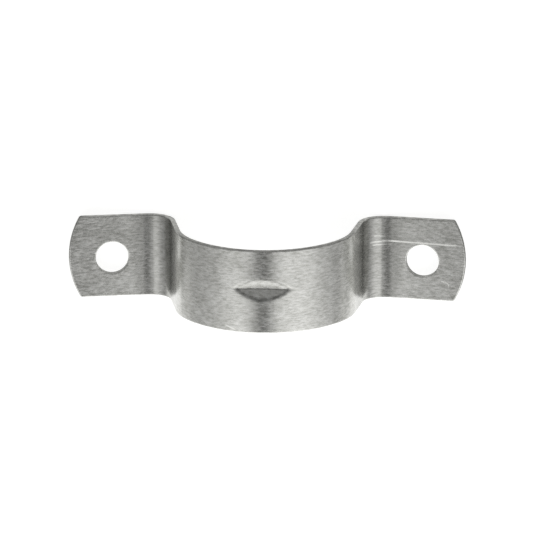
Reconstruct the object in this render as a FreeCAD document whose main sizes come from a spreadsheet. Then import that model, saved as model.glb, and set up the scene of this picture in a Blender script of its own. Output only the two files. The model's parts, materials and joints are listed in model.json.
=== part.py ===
import FreeCAD, Part

import math
import os

import Sketcher

# Conduit strap: one strip of galvanised sheet steel, folded into a half-round arch with two
# screw-down ears, with a dart pressed into its crown so that it bites on the conduit.
#
# Frame: X runs along the strap from ear to ear, Y across the strip (along the conduit) and Z
# away from the wall. The origin is midway between the ears, on the wall plane that the two
# foot bends stand on.
#
# Every length is in millimetres and every angle in degrees.

NODE = "conduit_strap"

SIZES = [
    # alias, value, what it is
    ("strap_width", 25.4, "width of the strip, along the conduit"),
    ("sheet_thickness", 1.5, "sheet steel"),
    ("crown_radius", 28.0, "inner face of the arch, over its crown"),
    ("crown_half_angle", 50.5, "reach of that radius, each side of the top"),
    ("shoulder_radius", 18.2, "inner face where the arch tightens into a leg"),
    ("leg_angle", 78.6, "slope of a leg from level"),
    ("leg_length", 9.0, "flat part of a leg"),
    ("foot_radius", 7.1, "upper, hollow face of the bend between leg and ear"),
    ("ear_angle", 8.8, "how far an ear still rises before its screw pulls it flat"),
    ("hole_from_bend", 10.0, "end of the foot bend to the hole's centre, along the ear"),
    ("hole_offset", 0.5, "screw hole's centre, off the middle of the strip"),
    ("hole_diameter", 9.9, "screw hole"),
    ("tip_from_hole", 13.0, "hole's centre to the tip, along the ear"),
    ("tip_radius", 25.4, "rounded end of an ear, seen square on"),
    ("corner_radius", 0.5, "blanked corner between the tip and a long edge"),
    ("edge_radius", 0.4, "sheared edge, drawn over on the outer face"),
    ("dart_depth", 1.6, "depth of the dart's valley below the top of the arch"),
    ("dart_width", 6.0, "dart's width at the top of the arch"),
    ("dart_valley_radius", 75.0, "lengthwise curve of the valley, centred above the arch"),
    ("dart_offset", 0.7, "valley's distance from the middle of the strip"),
    ("dart_crest_radius", 1.0, "crest of the ridge that the dart raises inside the arch"),
]

# How a sketch's constraints name a point of a curve, and the sketch's own origin and axes.
START, END, CENTRE = range(1, 4)
ORIGIN, LEVEL_AXIS, UPRIGHT_AXIS = -1, -1, -2
NORMAL = FreeCAD.Vector(0, 0, 1)


def add_sheet(doc):
    """Put the driving sizes into a spreadsheet, one row each."""
    sheet = doc.addObject("Spreadsheet::Sheet", "sizes")
    for row, (alias, value, meaning) in enumerate(SIZES, start=1):
        sheet.set("A%d" % row, alias)
        sheet.set("B%d" % row, str(value))
        sheet.set("C%d" % row, meaning)
        sheet.setAlias("B%d" % row, alias)
    doc.recompute()
    return sheet


def origin_plane(body, role):
    """Return one of the body's own origin planes."""
    return next(item for item in body.Origin.OriginFeatures if item.Role == role)


def add_sketch(body, name, support):
    """Add a sketch that lies flat on a plane of the body."""
    sketch = body.newObject("Sketcher::SketchObject", name)
    sketch.AttachmentSupport = [(support, "")]
    sketch.MapMode = "FlatFace"
    return sketch


def dimension(sketch, kind, name, formula, *where):
    """Add a named dimension that a formula on the sheet drives, and return its index."""
    value = float(sketch.evalExpression(formula))
    if kind == "Angle":
        value = math.radians(value)
        formula = "(%s) * 1 deg" % formula
    index = sketch.addConstraint(Sketcher.Constraint(kind, *where, value))
    sketch.renameConstraint(index, name)
    sketch.setExpression("Constraints." + name, formula)
    return index


def constrain(sketch, kind, *where):
    """Add a constraint that has no size."""
    sketch.addConstraint(Sketcher.Constraint(kind, *where))


def read_off(sketch, kind, name, *where):
    """Add a dimension that only reports a size, for later features to use."""
    index = sketch.addConstraint(Sketcher.Constraint(kind, *where, 1.0))
    sketch.setDriving(index, False)
    sketch.renameConstraint(index, name)


def add_arc(sketch, centre, radius, first, last):
    """Draw an arc anticlockwise between two directions given in degrees."""
    circle = Part.Circle(centre, NORMAL, radius)
    return sketch.addGeometry(Part.ArcOfCircle(circle, math.radians(first), math.radians(last)))


def add_circle(sketch, centre, radius):
    """Draw a full circle."""
    return sketch.addGeometry(Part.Circle(centre, NORMAL, radius))


def add_line(sketch, first, last):
    """Draw a straight line between two points."""
    return sketch.addGeometry(Part.LineSegment(first, last))


def off_upright(centre, radius, angle):
    """Return the point at a radius from a centre, turned clockwise from straight up."""
    turn = math.radians(angle)
    return centre + FreeCAD.Vector(radius * math.sin(turn), radius * math.cos(turn), 0)


def draw_half_outline(body, sheet):
    """Draw the strip's section from the top of the arch to the tip of one ear."""
    sketch = add_sketch(body, "half_outline", origin_plane(body, "XZ_Plane"))
    thickness = sheet.sheet_thickness
    ear_length = sheet.hole_from_bend + sheet.tip_from_hole

    # First guess at every corner, near enough for the solver to close on.
    crown = FreeCAD.Vector(0, 0, 0)
    shoulder = off_upright(crown, sheet.crown_radius - sheet.shoulder_radius, sheet.crown_half_angle)
    leg_top = off_upright(shoulder, sheet.shoulder_radius, sheet.leg_angle)
    leg_foot = off_upright(leg_top, sheet.leg_length, sheet.leg_angle + 90)
    foot = off_upright(leg_foot, thickness + sheet.foot_radius, sheet.leg_angle)
    drop = FreeCAD.Vector(0, sheet.foot_radius + thickness - foot.y, 0)
    crown, shoulder, leg_top, leg_foot, foot = (
        point + drop for point in (crown, shoulder, leg_top, leg_foot, foot)
    )
    ear_turn = 180 - sheet.ear_angle
    ear_start = off_upright(foot, sheet.foot_radius + thickness, ear_turn)
    ear_top_start = off_upright(foot, sheet.foot_radius, ear_turn)
    ear_end = off_upright(ear_start, ear_length, 90 - sheet.ear_angle)
    ear_top_end = off_upright(ear_top_start, ear_length, 90 - sheet.ear_angle)
    leg_top_out = off_upright(leg_top, thickness, sheet.leg_angle)
    leg_foot_out = off_upright(leg_foot, thickness, sheet.leg_angle)

    def face(crown_radius, shoulder_radius, foot_radius, leg, ear):
        """Draw one face of the sheet, from the crown out to the tip."""
        crown_end = 90 - sheet.crown_half_angle
        shoulder_end = 90 - sheet.leg_angle
        crown_arc = add_arc(sketch, crown, crown_radius, crown_end, 90)
        shoulder_arc = add_arc(sketch, shoulder, shoulder_radius, shoulder_end, crown_end)
        leg_line = add_line(sketch, *leg)
        foot_arc = add_arc(sketch, foot, foot_radius, 180 + shoulder_end, 270 + sheet.ear_angle)
        ear_line = add_line(sketch, *ear)
        constrain(sketch, "Tangent", crown_arc, START, shoulder_arc, END)
        constrain(sketch, "Tangent", shoulder_arc, START, leg_line, START)
        constrain(sketch, "Tangent", leg_line, END, foot_arc, START)
        constrain(sketch, "Tangent", foot_arc, END, ear_line, START)
        return crown_arc, shoulder_arc, leg_line, foot_arc, ear_line

    inner = face(
        sheet.crown_radius,
        sheet.shoulder_radius,
        sheet.foot_radius + thickness,
        (leg_top, leg_foot),
        (ear_start, ear_end),
    )
    outer = face(
        sheet.crown_radius + thickness,
        sheet.shoulder_radius + thickness,
        sheet.foot_radius,
        (leg_top_out, leg_foot_out),
        (ear_top_start, ear_top_end),
    )
    crown_in, shoulder_in, leg_in, foot_in, ear_in = inner
    crown_out, shoulder_out, leg_out, foot_out, ear_out = outer
    middle_cut = add_line(
        sketch,
        off_upright(crown, sheet.crown_radius, 0),
        off_upright(crown, sheet.crown_radius + thickness, 0),
    )
    tip_cut = add_line(sketch, ear_end, ear_top_end)

    constrain(sketch, "Coincident", middle_cut, START, crown_in, END)
    constrain(sketch, "Coincident", middle_cut, END, crown_out, END)
    constrain(sketch, "Coincident", tip_cut, START, ear_in, END)
    constrain(sketch, "Coincident", tip_cut, END, ear_out, END)
    constrain(sketch, "Coincident", crown_in, CENTRE, crown_out, CENTRE)
    constrain(sketch, "Coincident", shoulder_in, CENTRE, shoulder_out, CENTRE)
    constrain(sketch, "Coincident", foot_in, CENTRE, foot_out, CENTRE)
    constrain(sketch, "PointOnObject", crown_in, CENTRE, UPRIGHT_AXIS)
    constrain(sketch, "PointOnObject", middle_cut, START, UPRIGHT_AXIS)
    constrain(sketch, "PointOnObject", middle_cut, END, UPRIGHT_AXIS)
    constrain(sketch, "Perpendicular", tip_cut, ear_in)
    constrain(sketch, "Parallel", ear_in, ear_out)

    dimension(sketch, "Radius", "crown", "sizes.crown_radius", crown_in)
    dimension(sketch, "Radius", "crown_outer", "sizes.crown_radius + sizes.sheet_thickness", crown_out)
    dimension(sketch, "Radius", "shoulder", "sizes.shoulder_radius", shoulder_in)
    dimension(sketch, "Radius", "foot", "sizes.foot_radius", foot_out)
    dimension(sketch, "Radius", "foot_under", "sizes.foot_radius + sizes.sheet_thickness", foot_in)
    dimension(sketch, "Angle", "crown_bend", "sizes.crown_half_angle", crown_in)
    dimension(sketch, "Angle", "shoulder_bend", "sizes.leg_angle - sizes.crown_half_angle", shoulder_in)
    dimension(sketch, "Angle", "foot_bend", "sizes.leg_angle + sizes.ear_angle", foot_in)
    dimension(sketch, "Distance", "leg", "sizes.leg_length", leg_in)
    dimension(sketch, "Distance", "ear", "sizes.hole_from_bend + sizes.tip_from_hole", ear_in)
    dimension(
        sketch,
        "DistanceY",
        "foot_height",
        "sizes.foot_radius + sizes.sheet_thickness",
        ORIGIN,
        START,
        foot_in,
        CENTRE,
    )
    read_off(sketch, "DistanceX", "foot_reach", ORIGIN, START, foot_in, CENTRE)
    read_off(sketch, "DistanceY", "crown_height", ORIGIN, START, crown_in, CENTRE)
    return sketch


def add_ear_plane(body):
    """Add a plane in the middle of one ear's sheet, level with its screw hole."""
    plane = body.newObject("PartDesign::Plane", "ear_plane")
    plane.AttachmentSupport = [(origin_plane(body, "XY_Plane"), "")]
    plane.MapMode = "FlatFace"
    plane.AttachmentOffset = FreeCAD.Placement(
        FreeCAD.Vector(0, 0, 0), FreeCAD.Rotation(FreeCAD.Vector(0, 1, 0), -1)
    )
    middle_of_bend = "(sizes.foot_radius + sizes.sheet_thickness / 2)"
    rise = "(sizes.ear_angle * 1 deg)"
    plane.setExpression(
        "AttachmentOffset.Base.x",
        "half_outline.Constraints.foot_reach"
        " + (%s * sin%s + sizes.hole_from_bend * cos%s) * 1 mm" % (middle_of_bend, rise, rise),
    )
    plane.setExpression(
        "AttachmentOffset.Base.z",
        "half_outline.Constraints.foot_height"
        " + (sizes.hole_from_bend * sin%s - %s * cos%s) * 1 mm" % (rise, middle_of_bend, rise),
    )
    plane.setExpression("AttachmentOffset.Rotation.Angle", "-sizes.ear_angle * 1 deg")
    return plane


def add_cut(body, name, sketch):
    """Cut a sketch's shape out of the sheet, square through it."""
    pocket = body.newObject("PartDesign::Pocket", name)
    pocket.Profile = sketch
    pocket.Midplane = True
    pocket.setExpression("Length", "sizes.sheet_thickness * 4")
    return pocket


def draw_screw_hole(body, sheet, ear_plane):
    """Draw the screw hole on the ear."""
    sketch = add_sketch(body, "screw_hole_outline", ear_plane)
    centre = FreeCAD.Vector(0, -sheet.hole_offset, 0)
    hole = add_circle(sketch, centre, sheet.hole_diameter / 2)
    constrain(sketch, "PointOnObject", hole, CENTRE, UPRIGHT_AXIS)
    dimension(sketch, "Diameter", "hole", "sizes.hole_diameter", hole)
    dimension(sketch, "DistanceY", "offset", "sizes.hole_offset", hole, CENTRE, ORIGIN, START)
    return sketch


def draw_tip(body, sheet, ear_plane):
    """Draw what is trimmed off beyond the rounded tip of the ear, with room to spare."""
    sketch = add_sketch(body, "tip_outline", ear_plane)
    spare = 1
    half_width = sheet.strap_width / 2 + spare
    centre = FreeCAD.Vector(sheet.tip_from_hole - sheet.tip_radius, 0, 0)
    spread = math.degrees(math.asin(half_width / sheet.tip_radius))
    arc = add_arc(sketch, centre, sheet.tip_radius, -spread, spread)
    edge = sheet.tip_radius * math.cos(math.radians(spread)) + centre.x
    beyond = sheet.tip_from_hole + spare
    corners = [
        FreeCAD.Vector(edge, half_width, 0),
        FreeCAD.Vector(beyond, half_width, 0),
        FreeCAD.Vector(beyond, -half_width, 0),
        FreeCAD.Vector(edge, -half_width, 0),
    ]
    top, far, bottom = (add_line(sketch, *pair) for pair in zip(corners, corners[1:]))
    constrain(sketch, "Coincident", arc, END, top, START)
    constrain(sketch, "Coincident", top, END, far, START)
    constrain(sketch, "Coincident", far, END, bottom, START)
    constrain(sketch, "Coincident", bottom, END, arc, START)
    constrain(sketch, "Horizontal", top)
    constrain(sketch, "PointOnObject", arc, CENTRE, LEVEL_AXIS)
    constrain(sketch, "Symmetric", far, START, far, END, LEVEL_AXIS)
    constrain(sketch, "Horizontal", bottom)
    dimension(sketch, "Radius", "tip", "sizes.tip_radius", arc)
    dimension(sketch, "Distance", "span", "sizes.strap_width + 2 * %s" % spare, far)
    dimension(
        sketch,
        "DistanceX",
        "tip_centre",
        "sizes.tip_radius - sizes.tip_from_hole",
        arc,
        CENTRE,
        ORIGIN,
        START,
    )
    dimension(
        sketch,
        "DistanceX",
        "beyond",
        "sizes.tip_from_hole + %s" % spare,
        ORIGIN,
        START,
        far,
        START,
    )
    return sketch


def add_dart_sketch(body, name):
    """Add a sketch across the strip, with its level axis where the dart's valley is centred."""
    sketch = add_sketch(body, name, origin_plane(body, "YZ_Plane"))
    sketch.setExpression(
        "AttachmentOffset.Base.y",
        "half_outline.Constraints.crown_height + half_outline.Constraints.crown_outer"
        " + (sizes.dart_valley_radius - sizes.dart_depth) * 1 mm",
    )
    return sketch


def draw_dart_ridge(body, sheet):
    """Draw a rounded V: the ridge that the dart raises inside the arch, up into the sheet."""
    sketch = add_dart_sketch(body, "dart_ridge_outline")
    slope = math.atan2(2 * sheet.dart_depth, sheet.dart_width)
    radius = sheet.dart_crest_radius
    height = sheet.dart_depth + sheet.sheet_thickness
    bottom = -sheet.dart_valley_radius - sheet.sheet_thickness
    centre = FreeCAD.Vector(sheet.dart_offset, bottom + radius, 0)
    spread = math.degrees(slope)
    crest = add_arc(sketch, centre, radius, 270 - spread, 270 + spread)
    left_foot = off_upright(centre, radius, 180 + spread)
    right_foot = off_upright(centre, radius, 180 - spread)
    rise = bottom + height - left_foot.y
    reach = rise / math.tan(slope)
    left_top = left_foot + FreeCAD.Vector(-reach, rise, 0)
    right_top = right_foot + FreeCAD.Vector(reach, rise, 0)
    left = add_line(sketch, left_foot, left_top)
    top = add_line(sketch, left_top, right_top)
    right = add_line(sketch, right_top, right_foot)
    constrain(sketch, "Tangent", crest, START, left, START)
    constrain(sketch, "Coincident", left, END, top, START)
    constrain(sketch, "Coincident", top, END, right, START)
    constrain(sketch, "Tangent", right, END, crest, END)
    constrain(sketch, "Horizontal", top)
    constrain(sketch, "Equal", left, right)
    flank = "atan(2 * sizes.dart_depth / sizes.dart_width) / 1 deg"
    dimension(sketch, "Radius", "crest", "sizes.dart_crest_radius", crest)
    dimension(sketch, "Angle", "crest_bend", "2 * " + flank, crest)
    dimension(sketch, "DistanceX", "offset", "sizes.dart_offset", ORIGIN, START, crest, CENTRE)
    dimension(
        sketch,
        "DistanceY",
        "crest_drop",
        "sizes.dart_valley_radius + sizes.sheet_thickness - sizes.dart_crest_radius",
        crest,
        CENTRE,
        ORIGIN,
        START,
    )
    dimension(
        sketch,
        "DistanceY",
        "top_drop",
        "sizes.dart_valley_radius - sizes.dart_depth",
        top,
        START,
        ORIGIN,
        START,
    )
    return sketch


def draw_dart_groove(body, sheet):
    """Draw the sharp V that the dart leaves in the outer face, half as tall again as it is deep."""
    sketch = add_dart_sketch(body, "dart_groove_outline")
    overshoot = 1.5
    middle = sheet.dart_offset
    bottom = -sheet.dart_valley_radius
    top_height = bottom + overshoot * sheet.dart_depth
    half_width = overshoot * sheet.dart_width / 2
    valley = FreeCAD.Vector(middle, bottom, 0)
    left_top = FreeCAD.Vector(middle - half_width, top_height, 0)
    right_top = FreeCAD.Vector(middle + half_width, top_height, 0)
    left = add_line(sketch, valley, left_top)
    top = add_line(sketch, left_top, right_top)
    right = add_line(sketch, right_top, valley)
    constrain(sketch, "Coincident", left, END, top, START)
    constrain(sketch, "Coincident", top, END, right, START)
    constrain(sketch, "Coincident", right, END, left, START)
    constrain(sketch, "Horizontal", top)
    constrain(sketch, "Equal", left, right)
    dimension(sketch, "DistanceX", "offset", "sizes.dart_offset", ORIGIN, START, left, START)
    dimension(
        sketch,
        "DistanceY",
        "valley_drop",
        "sizes.dart_valley_radius",
        left,
        START,
        ORIGIN,
        START,
    )
    dimension(sketch, "DistanceX", "mouth", "sizes.dart_width * %s" % overshoot, top, START, top, END)
    dimension(
        sketch, "DistanceY", "height", "sizes.dart_depth * %s" % overshoot, left, START, left, END
    )
    return sketch


def sweep_lengthwise(body, kind, name, sketch):
    """Turn a dart's section about its centre far above the arch, well past both its ends."""
    feature = body.newObject(kind, name)
    feature.Profile = sketch
    feature.ReferenceAxis = (sketch, ["H_Axis"])
    feature.Midplane = True
    # The dart runs out where the sheet has curved away from the valley by the dart's depth.
    half_length = (
        "sqrt(2 * sizes.dart_depth / (1 / (sizes.crown_radius + sizes.sheet_thickness)"
        " + 1 / sizes.dart_valley_radius))"
    )
    feature.setExpression("Angle", "4 * %s / sizes.dart_valley_radius * 1 rad" % half_length)
    return feature


def draw_ridge_trim(body, sheet):
    """Draw a ring about the arch's centre, from the middle of the sheet outwards."""
    sketch = add_sketch(body, "ridge_trim_outline", origin_plane(body, "XZ_Plane"))
    centre = FreeCAD.Vector(0, sheet.foot_radius, 0)
    near = add_circle(sketch, centre, sheet.crown_radius)
    far = add_circle(sketch, centre, 2 * sheet.crown_radius)
    constrain(sketch, "Coincident", near, CENTRE, far, CENTRE)
    constrain(sketch, "PointOnObject", near, CENTRE, UPRIGHT_AXIS)
    dimension(
        sketch, "Radius", "middle_of_sheet", "sizes.crown_radius + sizes.sheet_thickness / 2", near
    )
    dimension(sketch, "Radius", "clear", "sizes.crown_radius * 2", far)
    dimension(
        sketch,
        "DistanceY",
        "centre",
        "half_outline.Constraints.crown_height / 1 mm",
        ORIGIN,
        START,
        near,
        CENTRE,
    )
    return sketch


def is_sheet_face(face):
    """Tell whether a face is a rolled face of the strip: flat or bent about Y, not sheared."""
    surface = face.Surface
    if isinstance(surface, Part.Plane):
        return abs(surface.Axis.y) < 0.5
    return isinstance(surface, Part.Cylinder) and abs(surface.Axis.y) > 0.5


def is_outer(face):
    """Tell whether a face looks away from the wall."""
    first_u, last_u, first_v, last_v = face.ParameterRange
    return face.normalAt((first_u + last_u) / 2, (first_v + last_v) / 2).z > 0


def is_sheared_face(face):
    """Tell whether a face was cut by the blanking die: a long edge, a tip or a hole."""
    surface = face.Surface
    if isinstance(surface, Part.Plane):
        return abs(surface.Axis.y) > 0.5
    return isinstance(surface, Part.Cylinder) and abs(surface.Axis.y) < 0.5


def edge_names(shape, wanted):
    """Return the names of the edges whose two faces satisfy a test."""
    names = []
    for number, edge in enumerate(shape.Edges, start=1):
        faces = shape.ancestorsOfType(edge, Part.Face)
        if len(faces) == 2 and (wanted(*faces) or wanted(*reversed(faces))):
            names.append("Edge%d" % number)
    return names


def is_blank_corner(first, second):
    """Tell whether two faces meet at a corner of the blank, between a tip and a long edge."""
    return (
        is_sheared_face(first)
        and is_sheared_face(second)
        and isinstance(first.Surface, Part.Plane)
        and isinstance(second.Surface, Part.Cylinder)
    )


def is_drawn_over(first, second):
    """Tell whether two faces meet at a sheared edge on the outer side of the sheet."""
    return is_sheet_face(first) and is_outer(first) and is_sheared_face(second)


def add_fillet(body, name, base, wanted, formula):
    """Round the edges of the base that satisfy a test."""
    fillet = body.newObject("PartDesign::Fillet", name)
    fillet.Base = (base, edge_names(base.Shape, wanted))
    fillet.setExpression("Radius", formula)
    return fillet


def build_strap(doc, sheet):
    """Build the strap as one body and return it."""
    body = doc.addObject("PartDesign::Body", NODE)
    body.Label = NODE
    doc.recompute()

    outline = draw_half_outline(body, sheet)
    doc.recompute()

    # The ridge inside the arch comes first, cut back to the middle of the sheet, so that the
    # strip padded over it takes it in.
    ridge_outline = draw_dart_ridge(body, sheet)
    doc.recompute()
    sweep_lengthwise(body, "PartDesign::Revolution", "dart_ridge", ridge_outline)
    doc.recompute()
    trim = body.newObject("PartDesign::Pocket", "ridge_trim")
    trim.Profile = draw_ridge_trim(body, sheet)
    trim.Midplane = True
    trim.setExpression("Length", "sizes.strap_width")
    doc.recompute()

    strip = body.newObject("PartDesign::Pad", "strip_half")
    strip.Profile = outline
    strip.Midplane = True
    strip.setExpression("Length", "sizes.strap_width")
    doc.recompute()

    ear_plane = add_ear_plane(body)
    doc.recompute()
    hole = add_cut(body, "screw_hole", draw_screw_hole(body, sheet, ear_plane))
    doc.recompute()
    tip = add_cut(body, "rounded_tip", draw_tip(body, sheet, ear_plane))
    doc.recompute()
    whole = body.newObject("PartDesign::Mirrored", "both_halves")
    whole.Originals = [strip, hole, tip]
    whole.MirrorPlane = (origin_plane(body, "YZ_Plane"), [""])
    body.Tip = whole
    doc.recompute()

    groove_outline = draw_dart_groove(body, sheet)
    doc.recompute()
    groove = sweep_lengthwise(body, "PartDesign::Groove", "dart_groove", groove_outline)
    doc.recompute()
    corners = add_fillet(body, "blank_corners", groove, is_blank_corner, "sizes.corner_radius")
    doc.recompute()
    add_fillet(body, "drawn_edges", corners, is_drawn_over, "sizes.edge_radius")
    doc.recompute()
    return body


def check(doc, body):
    """Stop unless every object is up to date, every cut has cut and the strap is one solid."""
    for item in doc.Objects:
        if "Invalid" in item.State or "Error" in item.State:
            raise RuntimeError("%s: %s" % (item.Name, item.State))
    for name in ("ridge_trim", "screw_hole", "rounded_tip", "dart_groove"):
        cut = doc.getObject(name)
        if cut.Shape.Volume >= cut.BaseFeature.Shape.Volume:
            raise RuntimeError("%s cuts nothing" % name)
    shape = body.Shape
    if shape.isNull() or not shape.isValid() or len(shape.Solids) != 1:
        raise RuntimeError("the strap isn't one valid solid")


def main():
    """Build the strap, check it and write its STEP file."""
    doc = FreeCAD.newDocument(NODE)
    body = build_strap(doc, add_sheet(doc))
    check(doc, body)
    os.makedirs("parts", exist_ok=True)
    body.Shape.exportStep("parts/%s.step" % NODE)
    box = body.Shape.optimalBoundingBox()
    print("%s: %.1f x %.1f x %.1f mm" % (NODE, box.XLength, box.YLength, box.ZLength))
    print("volume %.0f cubic mm" % body.Shape.Volume)


main()
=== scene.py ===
"""Looks of the conduit strap: one folded strip of galvanised steel on a pale studio floor.

Everything is in metres, in the part's own frame: X runs along the strap from ear to ear, Y across
the strip and Z away from the wall that the ears are screwed to.
"""

import json
import logging
import math
from collections.abc import Callable
from dataclasses import dataclass, field
from enum import Enum

import bmesh
import bpy
from mathutils import Euler, Matrix, Vector


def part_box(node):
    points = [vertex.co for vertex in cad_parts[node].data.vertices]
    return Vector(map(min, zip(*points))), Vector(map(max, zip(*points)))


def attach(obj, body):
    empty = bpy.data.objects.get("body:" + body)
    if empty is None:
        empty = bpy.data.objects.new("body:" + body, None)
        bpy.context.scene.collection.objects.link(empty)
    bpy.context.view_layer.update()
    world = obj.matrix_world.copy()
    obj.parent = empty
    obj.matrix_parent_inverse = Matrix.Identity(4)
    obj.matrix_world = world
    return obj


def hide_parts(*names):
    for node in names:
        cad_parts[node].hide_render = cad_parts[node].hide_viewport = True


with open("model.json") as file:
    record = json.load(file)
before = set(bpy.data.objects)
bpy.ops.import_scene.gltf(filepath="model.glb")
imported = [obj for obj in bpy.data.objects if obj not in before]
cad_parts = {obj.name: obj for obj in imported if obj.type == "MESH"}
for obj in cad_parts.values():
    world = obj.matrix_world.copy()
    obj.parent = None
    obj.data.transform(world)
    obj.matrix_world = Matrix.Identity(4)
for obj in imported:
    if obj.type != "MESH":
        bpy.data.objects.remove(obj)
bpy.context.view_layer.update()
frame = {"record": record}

MM = 0.001
NODE = "conduit_strap"
ACROSS = Vector((0.0, 1.0, 0.0))
LOG = logging.getLogger("conduit_strap")
Tree = bpy.types.NodeTree
Socket = bpy.types.NodeSocket
Range = tuple[float, float]

# Places nearer than this are the same place.
NEAR = 0.01 * MM
# Vertices nearer than this join where the two halves of the strap meet.
SEAM_GAP = 0.005 * MM
# Vertices nearer than this are one vertex.
DOUBLE_GAP = 0.002 * MM
# An edge of the blank is sheared where its faces turn by more than this.
SHEARED_TURN = math.radians(60)
# Faces that turn by less than this are shaded as one bend.
SMOOTH_TURN = math.radians(40)
# On the ears, a face is cut where it stands steeper than this to the sheet.
CUT_TURN = math.radians(72)
# Elsewhere, a face is cut where it looks within this of straight across the strip.
SIDE_TURN = math.radians(25)
# Cut faces within this many of its radii belong to the screw hole.
HOLE_REACH = 1.1
# A vertex belongs to a group from this weight on.
IN_GROUP = 0.5
# The crown's own faces look less than this across the strip.
ACROSS_LIMIT = 0.5
# The punch is this many sheets long, so that it clears the sheet on both sides.
PUNCH_SHEETS = 4
FULL_TURN_DEGREES = 360.0
# The camera sees this many times as far as the strap.
CLIP_FACTOR = 4


class Face(Enum):
    """The two faces of the sheet."""

    OUTER = "outer"
    INNER = "inner"


class Surface(Enum):
    """What made a surface of the strap, by the number of its material slot."""

    ROLLED = 0
    SHEARED = 1
    PUNCHED = 2


class Part(Enum):
    """The parts of a mesh that are selected by a test, by Blender's names."""

    FACE = "FACE"
    EDGE = "EDGE"


class Sum(Enum):
    """What a maths node works out, by Blender's names."""

    ADD = "ADD"
    SUBTRACT = "SUBTRACT"
    MULTIPLY = "MULTIPLY"
    MULTIPLY_ADD = "MULTIPLY_ADD"
    LARGER = "MAXIMUM"
    SIZE = "ABSOLUTE"
    ANGLE = "ARCTAN2"


class Curve(Enum):
    """How a value runs from one end of a range to the other, by Blender's names."""

    EVEN = "LINEAR"
    SMOOTH = "SMOOTHSTEP"


class RampCurve(Enum):
    """How a ramp runs from stop to stop, by Blender's names."""

    EASE = "EASE"
    ROUNDED = "B_SPLINE"


class Mixed(Enum):
    """What a mix node mixes, by Blender's names."""

    LEVEL = "FLOAT"
    COLOUR = "RGBA"


def linear_colour(code: str) -> tuple[float, float, float, float]:
    """Turn an sRGB hex colour into the linear colour that shaders take, by sRGB's own curve.

    Args:
        code: Six hex digits, such as "c8c8c4".

    Returns:
        Linear red, green, blue and an alpha of 1.
    """
    channels = [int(code[start : start + 2], 16) / 255 for start in (0, 2, 4)]
    linear = [c / 12.92 if c <= 0.04045 else ((c + 0.055) / 1.055) ** 2.4 for c in channels]
    return (*linear, 1.0)


def add_node(
    tree: Tree,
    kind: str,
    settings: dict[str, object] | None = None,
    inputs: dict[str | int, object] | None = None,
) -> bpy.types.Node:
    """Add a node with its settings, and fill or link its inputs.

    Args:
        tree: The node tree that takes the node.
        kind: The node's type, such as "ShaderNodeMath".
        settings: Properties of the node itself.
        inputs: A value, or the socket to link, for each input by its name or number.

    Returns:
        The new node.
    """
    node = tree.nodes.new(kind)
    for name, value in (settings or {}).items():
        setattr(node, name, value)
    for name, value in (inputs or {}).items():
        if isinstance(value, Socket):
            tree.links.new(value, node.inputs[name])
        else:
            node.inputs[name].default_value = value
    return node


def calculate(tree: Tree, operation: Sum, *terms: Socket | float) -> Socket:
    """Add a maths node.

    Args:
        tree: The node tree that takes the node.
        operation: What it works out.
        *terms: Its inputs, in order.

    Returns:
        The result's socket.
    """
    node = add_node(tree, "ShaderNodeMath", {"operation": operation.value}, dict(enumerate(terms)))
    return node.outputs[0]


def stretch(
    tree: Tree,
    value: Socket,
    source: Range,
    target: Range = (0.0, 1.0),
    curve: Curve = Curve.EVEN,
) -> Socket:
    """Stretch a value from one range to another, and hold it at the ends.

    Args:
        tree: The node tree that takes the node.
        value: The value.
        source: The value's own range.
        target: What the ends of that range become.
        curve: How the result runs between them.

    Returns:
        The stretched value's socket.
    """
    inputs = {
        "Value": value,
        "From Min": source[0],
        "From Max": source[1],
        "To Min": target[0],
        "To Max": target[1],
    }
    node = add_node(tree, "ShaderNodeMapRange", {"interpolation_type": curve.value}, inputs)
    return node.outputs[0]


def mix(tree: Tree, kind: Mixed, share: Socket, first: object, second: object) -> Socket:
    """Mix two levels or two colours.

    Args:
        tree: The node tree that takes the node.
        kind: What is mixed.
        share: How much of the second there is, from 0 to 1.
        first: A value or a socket.
        second: A value or a socket.

    Returns:
        The mixture's socket.
    """
    inputs = {"Factor": share, "A": first, "B": second}
    return add_node(tree, "ShaderNodeMix", {"data_type": kind.value}, inputs).outputs["Result"]


def add_ramp(tree: Tree, place: Socket, stops: list[Range], curve: RampCurve) -> Socket:
    """Add a ramp of greys.

    Args:
        tree: The node tree that takes the node.
        place: Where on the ramp, from 0 to 1.
        stops: Place, from 0 to 1, and level of each stop.
        curve: How the ramp runs from stop to stop.

    Returns:
        The level's socket.
    """
    node = add_node(tree, "ShaderNodeValToRGB", None, {"Fac": place})
    ramp = node.color_ramp
    ramp.interpolation = curve.value
    while len(ramp.elements) < len(stops):
        ramp.elements.new(0.5)
    for element, (position, level) in zip(ramp.elements, stops):
        element.position = position
        element.color = (level, level, level, 1.0)
    return node.outputs[0]


def split(tree: Tree, coordinates: Socket) -> bpy.types.Node:
    """Split coordinates into X, Y and Z.

    Args:
        tree: The node tree that takes the node.
        coordinates: The coordinates.

    Returns:
        The node, with an output for each axis.
    """
    return add_node(tree, "ShaderNodeSeparateXYZ", None, {"Vector": coordinates})


def object_coordinates(tree: Tree) -> Socket:
    """Return the socket of new Object coordinates, in metres."""
    return add_node(tree, "ShaderNodeTexCoord").outputs["Object"]


def empty_material(name: str) -> bpy.types.Material:
    """Make a material without any nodes.

    Args:
        name: The material's name.

    Returns:
        The new material.
    """
    material = bpy.data.materials.new(name)
    material.use_nodes = True
    material.node_tree.nodes.clear()
    return material


def add_surface(tree: Tree, shader: Socket) -> None:
    """Add the material's output.

    Args:
        tree: The material's node tree.
        shader: What the surface shows.
    """
    add_node(tree, "ShaderNodeOutputMaterial", None, {"Surface": shader})


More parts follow.
